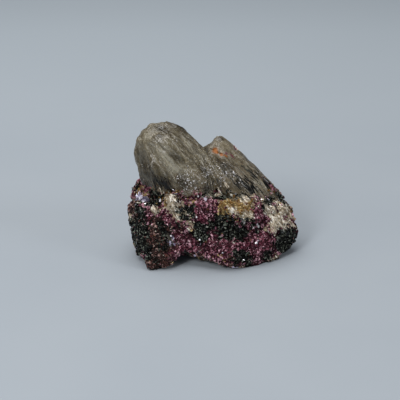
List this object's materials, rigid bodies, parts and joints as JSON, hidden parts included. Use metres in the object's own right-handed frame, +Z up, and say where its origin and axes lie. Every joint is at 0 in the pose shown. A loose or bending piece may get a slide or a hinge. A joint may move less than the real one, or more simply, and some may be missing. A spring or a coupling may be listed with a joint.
{
  "type": "raw lepidolite specimen with quartz",
  "caption": "Broken lump of pink mica rock speckled with black and cream grains, with a leaning grey quartz mass grown on top.",
  "frame": {"origin": "on the surface the lump rests on, under the middle of its bounding box", "axes": "+Z up, +X along the lump to its right end, +Y towards its back"},
  "size_m": [0.0854, 0.0514, 0.0688],
  "materials": {
    "lepidolite_rock": "coarse grained, rough, with bright mica faces",
    "grey_quartz": "glassy broken quartz, see-through at the thin edges"
  },
  "bodies": {
    "root": {"lepidolite_matrix": "lepidolite_rock", "quartz_mass": "grey_quartz"}
  },
  "joints": []
}
